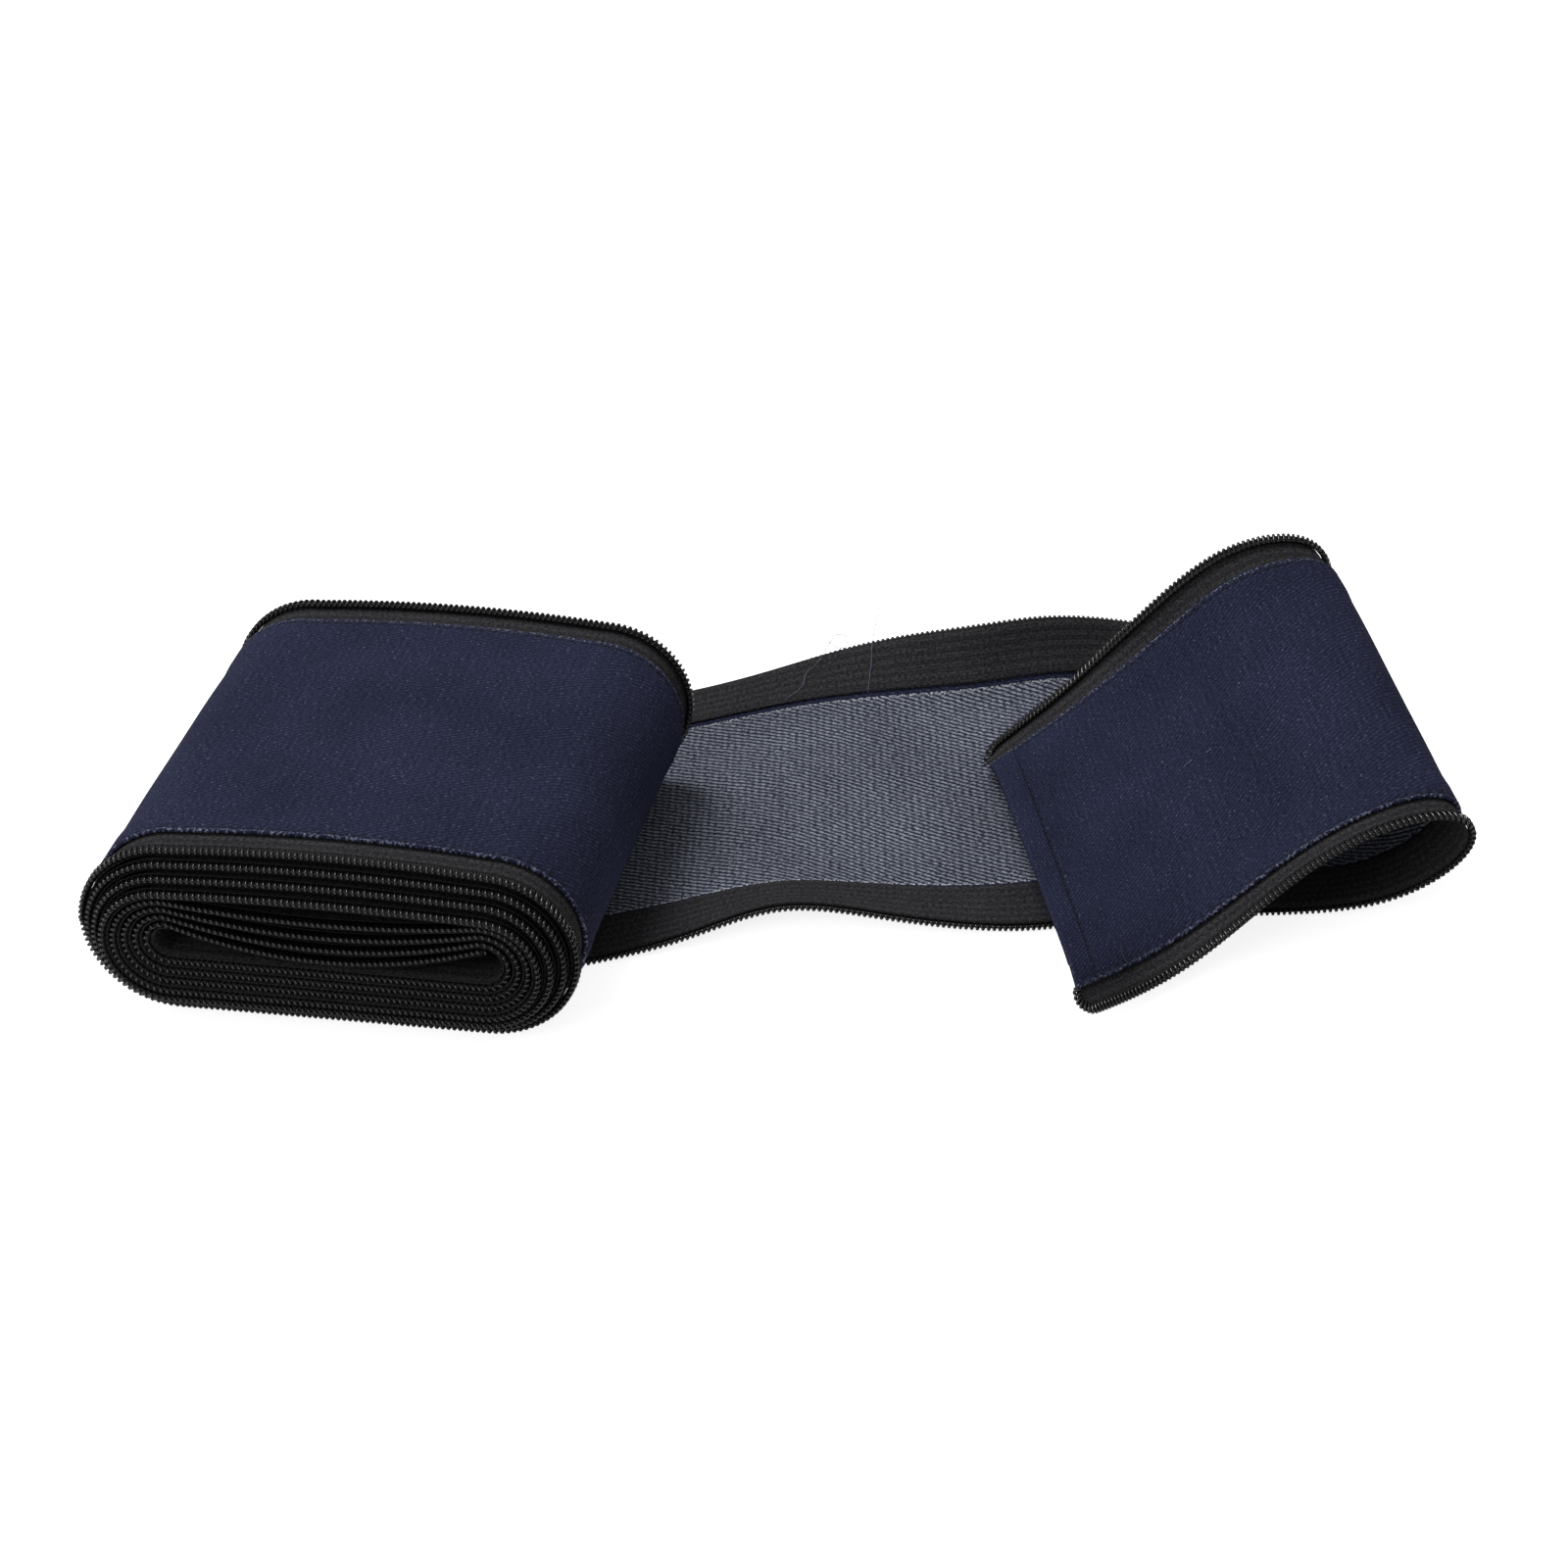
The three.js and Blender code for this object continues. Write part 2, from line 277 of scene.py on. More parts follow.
    @staticmethod
    def _guide(
        lengths: np.ndarray,
        gone: np.ndarray,
        values: np.ndarray,
        beyond: tuple[float, float] = (1.0, 0.0),
    ) -> np.ndarray:
        """Reads X and Z values at lengths along the last half turn, and on along the floor.

        Args:
            lengths: where to read.
            gone: lengths of the known values.
            values: the known values, one pair each.
            beyond: how fast each value grows past the last one.

        Returns:
            A pair for each length.
        """
        past = np.maximum(0, lengths - gone[-1])
        pairs = [np.interp(lengths, gone, values[:, i]) + beyond[i] * past for i in range(2)]
        return np.stack(pairs, axis=-1)

    def rows(self, at: np.ndarray) -> np.ndarray:
        """Reads the free end's rows at row numbers, on a uniform cubic B-spline.

        Each end row is the middle of its neighbours, so that the spline starts and ends there.
        """
        start = [
            self.exit_x,
            float(self.set_back(np.array(self.turns))) + self.middle + self.exit_drift,
            self.floor_depth,
            90 + self.exit_skew,
            0.0,
            0.0,
            0.0,
        ]
        rows = np.array([[0.0] * 7, *self.free_run])
        rows[:, :4] += start[:4]
        rows = np.concatenate([2 * rows[:1] - rows[1:2], rows, 2 * rows[-1:] - rows[-2:-1]])
        span = np.clip(np.floor(at).astype(int), 0, len(rows) - 4)
        u = at - span
        weights = [
            (1 - u) ** 3 / 6,
            (3 * u**3 - 6 * u**2 + 4) / 6,
            (-3 * u**3 + 3 * u**2 + 3 * u + 1) / 6,
            u**3 / 6,
        ]
        return sum(weight[:, None] * rows[span + i] for i, weight in enumerate(weights))

    def _free(self) -> tuple[np.ndarray, np.ndarray]:
        """Gives the free end: a spline of rows, each bent down or up near its two edges.

        The slope across grows by a cubic step over the outer reach, and its cosine and sine
        add up to the way gone sideways and up.
        """
        last = len(self.free_run)
        at = np.linspace(0, last, 1300)
        rows = self.rows(at)
        ahead = self.rows(np.minimum(at + 0.05, last))[:, :3]
        behind = self.rows(np.maximum(at - 0.05, 0))[:, :3]
        turn, slope = np.radians(rows[:, 3]), np.radians(rows[:, 4])
        across = np.stack(
            [np.cos(slope) * np.cos(turn), np.cos(slope) * np.sin(turn), np.sin(slope)], axis=-1
        )
        up = unit(np.cross(ahead - behind, across))
        reach, flat = self.bend_reach, self.bend_reach - self.bend_flat

        def slopes(columns: np.ndarray) -> np.ndarray:
            """Gives the slope across at each row and column."""
            front = smooth(reach - columns, 0, flat)
            back = smooth(columns - self.width + reach, 0, flat)
            return np.radians(rows[:, 5:6]) * front - np.radians(rows[:, 6:7]) * back

        between = slopes((self.columns[1:] + self.columns[:-1]) / 2)
        zero = np.zeros((len(at), 1))
        side = np.concatenate([zero, np.cumsum(np.cos(between), axis=1)], axis=1)
        rise = np.concatenate([zero, np.cumsum(np.sin(between), axis=1)], axis=1)
        half = int(self.middle)
        side -= side[:, half : half + 2].mean(axis=1, keepdims=True)
        rise -= rise[:, half : half + 2].mean(axis=1, keepdims=True)
        tilt = slopes(self.columns)[..., None]
        across, up = across[:, None], up[:, None]
        places = rows[:, None, :3] + across * side[..., None] + up * rise[..., None]
        return places, across * np.sin(tilt) - up * np.cos(tilt)

    def _relief(self) -> np.ndarray:
        """Gives the cloth's small waves, outwards, on the last turn and on the free end.

        They are sums of sines of the length and the place across, and they fade out where the
        strip lies on itself inside the roll. A pressed crease, a bell curve of the distance
        from it, crosses the folded back end.
        """
        along = self.along[:, None]
        across = self.columns[None]
        inner = smooth(across, 14, 40) * smooth(self.width - across, 14, 40)
        waves = (
            np.sin(along / 17 + 1.3 * np.sin(across / 31))
            + 0.6 * np.sin(along / 9.3 - across / 23 + 1.0)
            + 0.5 * np.sin(across / 11 + 0.7 * np.sin(along / 37))
        )
        start = self.roll_length - 150
        shown = smooth(along, start, start + 60)
        calm = 1 - 0.6 * smooth(along, self.roll_length - 40, self.roll_length + 20)
        past_crease = self.length - along - self.crease_from_end + self.crease_slant * across
        crease = self.crease_height * np.exp(-((past_crease / self.crease_width) ** 2))
        return (self.wave_height * (waves + 2.1) * shown * calm + crease) * inner

    def line(self, across: float) -> np.ndarray:
        """Gives the lengths gone along the table's rows, measured at a place across."""
        column = min(max(across, 0), self.width - 1e-6)
        index = int(column)
        share = column - index
        track = self.places[:, index] * (1 - share) + self.places[:, index + 1] * share
        steps = np.linalg.norm(np.diff(track, axis=0), axis=1)
        return np.concatenate([[0.0], np.cumsum(steps)])

    def points(self, length: np.ndarray, across: np.ndarray, depth: np.ndarray) -> np.ndarray:
        """Places points of the strip in space, in millimetres.

        They are read between the table's four nearest places, and straight on past its edges.

        Args:
            length, across, depth: arrays that broadcast together.

        Returns:
            Points, along one more axis.
        """
        length, across, depth = np.broadcast_arrays(length, across, depth)
        i = np.clip(np.searchsorted(self.along, length, "right") - 1, 0, len(self.along) - 2)
        j = np.clip(across.astype(int), 0, len(self.columns) - 2)
        u = ((length - self.along[i]) / (self.along[i + 1] - self.along[i]))[..., None]
        v = (across - j)[..., None]

        def between(table: np.ndarray) -> np.ndarray:
            """Reads a table between its four nearest values."""
            near = table[i, j] * (1 - v) + table[i, j + 1] * v
            far = table[i + 1, j] * (1 - v) + table[i + 1, j + 1] * v
            return near * (1 - u) + far * u

        return between(self.places) + depth[..., None] * between(self.normals)


@dataclass
class Mesh:
    """A mesh as arrays.

    It has points in millimetres and faces, and it may have the strip's places for its pattern
    and a material's slot for each face.
    """

    points: np.ndarray
    faces: list[np.ndarray]
    pattern: np.ndarray | None = None
    slots: np.ndarray | None = None

    def build(self, name: str, materials: list[bpy.types.Material]) -> bpy.types.Object:
        """Makes the mesh a smooth Blender object in metres, at the origin.

        Args:
            name: the object's name.
            materials: its materials, in the order of its faces' slots.

        Returns:
            The object, linked to the scene.
        """
        corners = np.concatenate([faces.ravel() for faces in self.faces])
        sizes = np.concatenate([np.full(len(faces), faces.shape[1]) for faces in self.faces])
        mesh = bpy.data.meshes.new(name)
        mesh.vertices.add(len(self.points))
        mesh.vertices.foreach_set("co", (self.points * MILLIMETRE).astype(np.float32).ravel())
        mesh.loops.add(len(corners))
        mesh.loops.foreach_set("vertex_index", corners.astype(np.int32))
        mesh.polygons.add(len(sizes))
        starts = np.concatenate([[0], np.cumsum(sizes)[:-1]])
        mesh.polygons.foreach_set("loop_start", starts.astype(np.int32))
        mesh.polygons.foreach_set("use_smooth", np.ones(len(sizes), bool))
        if self.slots is not None:
            mesh.polygons.foreach_set("material_index", self.slots.astype(np.int32))
        if self.pattern is not None:
            layer = mesh.uv_layers.new(name="strip")
            layer.data.foreach_set("uv", self.pattern[corners].astype(np.float32).ravel())
        for material in materials:
            mesh.materials.append(material)
        mesh.update(calc_edges=True)
        mesh.validate()
        piece = bpy.data.objects.new(name, mesh)
        bpy.context.scene.collection.objects.link(piece)
        return piece


def grid_faces(rows: int, columns: int) -> np.ndarray:
    """Gives the four-sided faces of a grid of points, whose rows each close on themselves.

    Args:
        rows, columns: how many points each way.

    Returns:
        Four point numbers a face.
    """
    row = np.arange(rows - 1)[:, None] * columns
    column = np.arange(columns)[None]
    after = (column + 1) % columns
    corners = [row + column, row + after, row + columns + after, row + columns + column]
    return np.stack(corners, axis=-1).reshape(-1, 4)


def end_faces(rows: int, columns: int) -> np.ndarray:
    """Gives the two many-sided faces that close the first and the last row of such a grid."""
    column = np.arange(columns)
    return np.stack([column[::-1], (rows - 1) * columns + column])


def tube(track: np.ndarray, lean: np.ndarray, radius: np.ndarray, sides: int) -> Mesh:
    """Gives a round tube along one or more tracks: a circle of points round each place on them.

    Args:
        track: places, along the last axis but one.
        lean: a direction for each place, which the first point of its circle leans towards.
        radius: the circle's radius at each place.
        sides: how many points a circle has.

    Returns:
        The tubes as one mesh, each with closed ends.
    """
    track = track.reshape(-1, *track.shape[-2:])
    tubes, count = track.shape[:2]
    lean = np.broadcast_to(lean, track.shape)
    radius = np.broadcast_to(radius, track.shape[:2])
    heading = unit(np.gradient(track, axis=1))
    first = unit(lean - heading * np.sum(lean * heading, axis=-1, keepdims=True))
    second = np.cross(heading, first)
    angle = np.arange(sides) * 2 * np.pi / sides
    ring = np.cos(angle)[:, None] * first[:, :, None] + np.sin(angle)[:, None] * second[:, :, None]
    points = track[:, :, None] + radius[..., None, None] * ring
    one = grid_faces(count, sides)
    starts = (np.arange(tubes) * count * sides)[:, None, None]
    caps = end_faces(count, sides)
    faces = [(starts + one).reshape(-1, 4), (starts + caps).reshape(-1, sides)]
    return Mesh(points.reshape(-1, 3), faces)


class Shading:
    """Adds nodes to one node tree and joins their sockets."""

    def __init__(self, tree: bpy.types.NodeTree) -> None:
        """Keeps the tree."""
        self.tree = tree

    def add(self, kind: str, **inputs: object) -> bpy.types.Node:
        """Adds a node.

        Args:
            kind: the node's type.
            inputs: sockets to join, or values to set, by name with underscores for spaces.

        Returns:
            The node.
        """
        return self.fill(self.tree.nodes.new(kind), **inputs)

    def fill(self, node: bpy.types.Node, **inputs: object) -> bpy.types.Node:
        """Joins or sets sockets of a node, by name with underscores for spaces, and gives the node."""
        for name, value in inputs.items():
            self.put(node.inputs[name.replace("_", " ")], value)
        return node

    def put(self, socket: bpy.types.NodeSocket, value: object) -> None:
        """Joins another node's socket to this one, or sets its value."""
        if isinstance(value, bpy.types.NodeSocket):
            self.tree.links.new(value, socket)
        else:
            socket.default_value = value

    def math(self, operation: str, *values: object, clamp: bool = False) -> bpy.types.NodeSocket:
        """Adds a Math node and gives its result."""
        node = self.tree.nodes.new("ShaderNodeMath")
        node.operation = operation
        node.use_clamp = clamp
        for socket, value in zip(node.inputs, values):
            self.put(socket, value)
        return node.outputs[0]

    def wave(self, value: object, period: object, times: float = 1.0) -> bpy.types.NodeSocket:
        """Gives the cosine of a value, which comes round so many times a period."""
        share = self.math("DIVIDE", value, period)
        return self.math("COSINE", self.math("MULTIPLY", share, 2 * math.pi * times))

    def mix(self, factor: object, first: object, second: object) -> bpy.types.NodeSocket:
        """Mixes two colours and gives the result."""
        node = self.tree.nodes.new("ShaderNodeMix")
        node.data_type = "RGBA"
        self.put(node.inputs[0], factor)
        self.put(node.inputs[6], first)
        self.put(node.inputs[7], second)
        return node.outputs[2]

    def step(self, value: object, low: float, high: float) -> bpy.types.NodeSocket:
        """Gives 0 below low, 1 above high and a smooth step between them."""
        node = self.tree.nodes.new("ShaderNodeMapRange")
        node.interpolation_type = "SMOOTHSTEP"
        for socket, item in zip(node.inputs, (value, low, high, 0.0, 1.0)):
            self.put(socket, item)
        return node.outputs[0]

    def noise(self, vector: object, scale: float, detail: float = 2.0) -> bpy.types.NodeSocket:
        """Adds a Noise Texture and gives its value."""
        node = self.add("ShaderNodeTexNoise", Vector=vector, Scale=scale, Detail=detail)
        return node.outputs[0]

    def stretched(self, vector: object, scale: tuple[float, float, float]) -> bpy.types.NodeSocket:
        """Scales a place differently each way and gives the result."""
        return self.add("ShaderNodeMapping", Vector=vector, Scale=scale).outputs[0]

    def bump(self, height: object, distance: float, strength: float) -> bpy.types.NodeSocket:
        """Adds a Bump node and gives its normal."""
        node = self.add("ShaderNodeBump", Height=height, Distance=distance, Strength=strength)
        return node.outputs[0]


def new_group(name: str, inputs: dict[str, str], outputs: dict[str, str]) -> Shading:
    """Starts a shader node group.

    Args:
        name: the group's name.
        inputs, outputs: socket types by socket name.

    Returns:
        The group's shading, with nodes named "in" and "out" for its ends.
    """
    tree = bpy.data.node_groups.new(name, "ShaderNodeTree")
    for label, kind in inputs.items():
        tree.interface.new_socket(label, in_out="INPUT", socket_type=kind)
    for label, kind in outputs.items():
        tree.interface.new_socket(label, in_out="OUTPUT", socket_type=kind)
    tree.nodes.new("NodeGroupInput").name = "in"
    tree.nodes.new("NodeGroupOutput").name = "out"
    return Shading(tree)


def twill_group() -> bpy.types.NodeTree:
    """Makes the group for a twill weave on the strip's own places.

    Ribs are a cosine across slanting lines. Each rib is cut into short floats by a second cosine
    along it, and noise that follows the threads makes some of them brighter.

    Returns:
        The group's tree.
    """
    number = "NodeSocketFloat"
    inputs = {"Place": "NodeSocketVector", "Rib": number, "Slant": number, "Depth": number}
    outputs = {"Float": number, "Height": number, "Cloud": number}
    group = new_group("twill weave", inputs, outputs)
    ends = group.tree.nodes
    place, rib, slant, deep = ends["in"].outputs[:4]
    drift = group.noise(place, 260.0)
    parts = group.add("ShaderNodeSeparateXYZ", Vector=place).outputs
    millimetres = [group.math("MULTIPLY", part, 1000.0) for part in parts[:2]]
    wander = group.math("MULTIPLY", group.math("SUBTRACT", drift, 0.5), 0.9)
    leaning = group.math("MULTIPLY", millimetres[1], slant)
    line = group.math("ADD", group.math("ADD", millimetres[0], leaning), wander)
    ridge = group.math("MULTIPLY_ADD", group.wave(line, rib), 0.5, 0.5)
    notch = group.math("MULTIPLY_ADD", group.wave(millimetres[1], rib, 0.74), 0.5, 0.5)
    thread = group.noise(group.stretched(place, (2600.0, 900.0, 1.0)), 1.0, 1.0)
    yarn = group.noise(group.stretched(place, (60.0, 1500.0, 1.0)), 1.0, 2.0)
    woven = group.math("MULTIPLY", ridge, group.math("MULTIPLY_ADD", notch, 0.45, 0.55))
    height = group.math("MULTIPLY_ADD", group.math("SUBTRACT", woven, 0.4), deep, 0.4)
    bright = group.math("ADD", group.step(thread, 0.36, 0.66), group.math("MULTIPLY", yarn, 0.5))
    group.put(ends["out"].inputs[0], group.math("MULTIPLY", height, bright, clamp=True))
    group.put(ends["out"].inputs[1], height)
    group.put(ends["out"].inputs[2], group.noise(place, 38.0, 4.0))
    return group.tree


def new_material(
    name: str, **inputs: object
) -> tuple[bpy.types.Material, Shading, bpy.types.Node]:
    """Starts a material with a Principled shader.

    Args:
        name: the material's name.
        inputs: values of the shader's sockets, by name with underscores for spaces.

    Returns:
        The material, its shading and its shader node.
    """
    material = bpy.data.materials.new(name)
    material.use_nodes = True
    shading = Shading(material.node_tree)
    shader = shading.fill(material.node_tree.nodes["Principled BSDF"], **inputs)
    return material, shading, shader


@dataclass(frozen=True)
class DenimFinish:
    """Twill denim on one face of the cloth."""

    name: str
    valley: Colour
    crest: Colour
    fleck: Colour
    rib: float
    slant: float
    depth: float
    contrast: float
    relief: float
    edges: tuple[float, float]
    edge_glint: float

    def material(self, twill: bpy.types.NodeTree) -> bpy.types.Material:
        """Makes the material.

        Args:
            twill: the weave's node group.

        Returns:
            The material.
        """
        material, shading, shader = new_material(self.name, Roughness=0.95, Specular_IOR_Level=0.08)
        place = shading.add("ShaderNodeUVMap").outputs[0]
        weave = shading.tree.nodes.new("ShaderNodeGroup")
        weave.node_tree = twill
        shading.fill(weave, Place=place, Rib=self.rib, Slant=self.slant, Depth=self.depth)
        floats, height, cloud = weave.outputs[:3]
        worn = shading.math("MULTIPLY_ADD", shading.step(cloud, 0.3, 0.7), 0.24, 0.86)
        amount = shading.math("MULTIPLY", floats, self.contrast, clamp=True)
        colour = shading.mix(amount, self.valley, self.crest)
        across = shading.add("ShaderNodeSeparateXYZ", Vector=place).outputs[0]
        fibres = shading.noise(shading.stretched(place, (1900.0, 1300.0, 1.0)), 1.0, 0.0)
        lint = shading.math("MULTIPLY", shading.step(fibres, 0.72, 0.82), 0.42)
        front = shading.math("SUBTRACT", across, self.edges[0] * MILLIMETRE)
        back = shading.math("SUBTRACT", self.edges[1] * MILLIMETRE, across)
        nearest = shading.math("MINIMUM", front, back)
        rim = shading.math("SUBTRACT", 1.0, shading.step(nearest, 0.0002, 0.0014))
        glint = shading.math("MULTIPLY", rim, shading.step(fibres, 0.5, 0.66))
        light = shading.math("ADD", lint, shading.math("MULTIPLY", glint, self.edge_glint), clamp=True)
        colour = shading.mix(light, colour, self.fleck)
        shade = shading.tree.nodes.new("ShaderNodeVectorMath")
        shade.operation = "SCALE"
        shading.put(shade.inputs[0], colour)
        shading.put(shade.inputs["Scale"], worn)
        bumpy = shading.math("ADD", height, shading.math("MULTIPLY", fibres, 0.5))
        normal = shading.bump(bumpy, 0.0003, self.relief)
        shading.fill(shader, Base_Color=shade.outputs[0], Normal=normal)
        return material


@dataclass(frozen=True)
class TapeFinish:
    """Black woven zip tape: fine cords along it and a broken rib across them."""

    name: str = "black woven tape"
    ground: Colour = srgb(22, 22, 24)
    raised: Colour = srgb(72, 71, 74)

    def material(self) -> bpy.types.Material:
        """Makes the material."""
        material, shading, shader = new_material(self.name, Roughness=0.9, Specular_IOR_Level=0.12)
        place = shading.add("ShaderNodeUVMap").outputs[0]
        parts = shading.add("ShaderNodeSeparateXYZ", Vector=place).outputs
        cords = shading.wave(parts[0], 0.00095)
        picks = shading.wave(parts[1], 0.0007)
        weave = shading.math("MULTIPLY_ADD", shading.math("MULTIPLY", cords, picks), 0.3, 0.5)
        bands = shading.wave(parts[0], 0.0027)
        lines = shading.math("MULTIPLY_ADD", cords, 0.1, weave)
        lines = shading.math("MULTIPLY_ADD", bands, 0.14, lines)
        fuzz = shading.noise(shading.stretched(place, (1500.0, 1100.0, 1.0)), 1.0, 1.0)
        cloud = shading.noise(place, 45.0, 3.0)
        loose = shading.math("MULTIPLY_ADD", cloud, 0.6, shading.step(fuzz, 0.34, 0.68))
        amount = shading.math("MULTIPLY", loose, lines, clamp=True)
        colour = shading.mix(amount, self.ground, self.raised)
        normal = shading.bump(shading.math("ADD", lines, fuzz), 0.00018, 0.6)
        shading.fill(shader, Base_Color=colour, Normal=normal)
        return material


@dataclass(frozen=True)
class NylonFinish:
    """Glossy black nylon of the coils."""

    name: str = "black nylon"
    colour: Colour = srgb(9, 9, 10)
    scuffed: Colour = srgb(22, 22, 24)
    roughness: float = 0.2

    def material(self) -> bpy.types.Material:
        """Makes the material."""
        material, shading, shader = new_material(self.name, Specular_IOR_Level=0.85)
        place = shading.add("ShaderNodeTexCoord").outputs["Object"]
        scuff = shading.noise(place, 900.0, 2.0)
        worn = shading.mix(shading.step(scuff, 0.45, 0.7), self.colour, self.scuffed)
        dullness = shading.math("MULTIPLY_ADD", scuff, 0.3, self.roughness - 0.15)
        shading.fill(shader, Base_Color=worn, Roughness=dullness)
        return material


@dataclass(frozen=True)
class ThreadFinish:
    """Twisted sewing thread."""

    name: str
    dark: Colour
    light: Colour

    def material(self) -> bpy.types.Material:
        """Makes the material."""
        material, shading, shader = new_material(self.name, Roughness=0.75)
        place = shading.add("ShaderNodeTexCoord").outputs["Object"]
        twist = shading.noise(place, 2200.0, 1.0)
        colour = shading.mix(shading.step(twist, 0.4, 0.65), self.dark, self.light)
        shading.fill(shader, Base_Color=colour, Normal=shading.bump(twist, 0.0001, 0.5))
        return material


@dataclass
class DenimStrip:
    """The denim: one long strip, its long edges turned under and both ends hemmed."""

    path: StripPath
    edge: float = 9.5
    turned_edge: float = 18.3
    single_depths: tuple[float, float] = (0.95, 1.5)
    under_depth: float = 0.7
    top_depth: float = 1.9
    fold_radius: float = 0.6
    seam_inset: float = 1.6
    seam_groove: float = 0.3
    groove_half_width: float = 0.45
    seam_thread_rise: float = 0.08
    outer_hem: float = 11.0
    inner_hem: float = 8.0
    hem_ply_depth: float = 0.3
    hem_lift: float = 0.35
    hem_seam_inset: float = 1.4
    hem_groove: float = 1.0
    hem_groove_width: float = 0.8
    hem_thread_sink: float = 0.45
    rope_height: float = 0.1
    end_round: float = 0.7

    @property
    def hem_seam(self) -> float:
        """The length where the outer hem is sewn down."""
        return self.path.length - self.outer_hem + self.hem_seam_inset

    def half_outline(self) -> tuple[np.ndarray, np.ndarray, np.ndarray]:
        """Gives the front half of the section, from the dark middle round the fold to the light one.

        Returns:
            Places across, depths, and whether each point ends a face of the light side.
        """
        groove = self.edge + self.seam_inset
        middle = self.path.middle
        mid_light, mid_dark = self.single_depths
        over = [
            *((x, mid_dark) for x in np.linspace(middle, self.turned_edge + 3.5, 12)),
            (self.turned_edge + 1.2, (mid_dark + self.top_depth) / 2),
            *((x, self.top_depth) for x in np.linspace(self.turned_edge - 1, groove + 1, 4)),
            (groove + self.groove_half_width, self.top_depth - self.seam_groove / 2),
            (groove, self.top_depth - self.seam_groove),
            (groove - self.groove_half_width, self.top_depth - self.seam_groove / 2),
        ]
        turn = np.linspace(np.pi / 2, -np.pi / 2, 7)
        centre = (self.top_depth + self.under_depth) / 2
        radius = self.fold_radius
        fold = [
            (self.edge + radius * (1 - np.cos(angle)), centre + radius * np.sin(angle))
            for angle in turn
        ]
        under = [
            *((x, self.under_depth) for x in np.linspace(groove, self.turned_edge - 0.2, 6)),
            (self.turned_edge, self.under_depth + 0.06),
            (self.turned_edge + 0.1, mid_light),
            *((x, mid_light) for x in np.linspace(self.turned_edge + 1.2, middle, 13)),
        ]
        line = np.array([*over, *fold, *under])
        light = np.arange(len(line)) >= len(over) + len(fold) + 7
        return line[:, 0], line[:, 1], light

    def lengths(self) -> np.ndarray:
        """Gives the lengths of the strip's rows: close on the free end, wider in the roll."""
        end = self.path.length
        fine = self.path.fine_start
        parts = [
            np.array([0.0, 0.15, 0.5]),
            np.linspace(1.2, self.inner_hem - 0.5, 5),
            np.linspace(self.inner_hem, fine, int((fine - self.inner_hem) / 3.6), endpoint=False),
            np.linspace(fine, end - self.outer_hem - 1.4, int((end - fine) / 1.3), endpoint=False),
            end - self.outer_hem + np.linspace(-1.0, 4.0, 16),
            end - np.linspace(self.outer_hem - 5, 1.4, 6),
            end - np.array([0.9, 0.5, 0.2, 0.05]),
        ]
        return np.concatenate(parts)

    def build(self, materials: dict[Face, bpy.types.Material]) -> bpy.types.Object:
        """Makes the cloth: its closed section carried along the strip, with hems as a second ply.

        At a hem the light side steps down by a ply, the dark side dips along the seam, and the
        section closes to a rounded edge at the very end.

        Args:
            materials: the material of each face.

        Returns:
            The cloth.
        """
        across, depth, light = self.half_outline()
        width = self.path.width
        across = np.concatenate([across, width - across[-2:0:-1]])
        depth = np.concatenate([depth, depth[-2:0:-1]])
        lengths = self.lengths()
        end = self.path.length
        hem = np.maximum(
            smooth(lengths, end - self.outer_hem - 0.3, end - self.outer_hem + 0.3),
            1 - smooth(lengths, self.inner_hem - 0.3, self.inner_hem + 0.3),
        )[:, None]
        inset = np.minimum(across, width - across)
        below = (depth <= self.single_depths[0] + 1e-6) & (inset > self.turned_edge)
        depths = depth - hem * below * (self.single_depths[0] - self.hem_ply_depth)
        past_seam = lengths[:, None] - self.hem_seam
        seam = np.exp(-((past_seam / self.hem_groove_width) ** 2))
        rope = np.sin(lengths[:, None] * 1.1 + across * 1.4) * hem * self.rope_height
        inside = smooth(inset, self.edge + 0.4, self.edge + 1.6)
        lift = rope + self.hem_lift * hem - self.hem_groove * seam
        depths = depths + (~below) * inside * lift
        mean = depths.mean(axis=1, keepdims=True)
        to_round = 1 - np.clip((end - lengths) / self.end_round, 0, 1)
        squeeze = np.sqrt(np.clip(1 - to_round**2, 0.02, 1))[:, None]
        depths = mean + (depths - mean) * squeeze
        points = self.path.points(lengths[:, None], across[None], depths)
        starts_light = np.concatenate([light, light[-2:0:-1]])
        light_column = starts_light & np.roll(starts_light, -1)
        hem_row = hem[:-1] > 0.5
        slots = np.where(hem_row, Face.DARK.value, light_column[None].astype(int)).ravel()
        size = (len(lengths), len(across))
        pattern = np.stack(np.broadcast_arrays(across[None], lengths[:, None]), axis=-1)
        mesh = Mesh(
            points.reshape(-1, 3),
            [grid_faces(*size), end_faces(*size)],
            pattern.reshape(-1, 2) * MILLIMETRE,
            np.concatenate([slots, np.full(2, Face.DARK.value)]),
        )
        return mesh.build("denim_cloth", [materials[face] for face in Face])


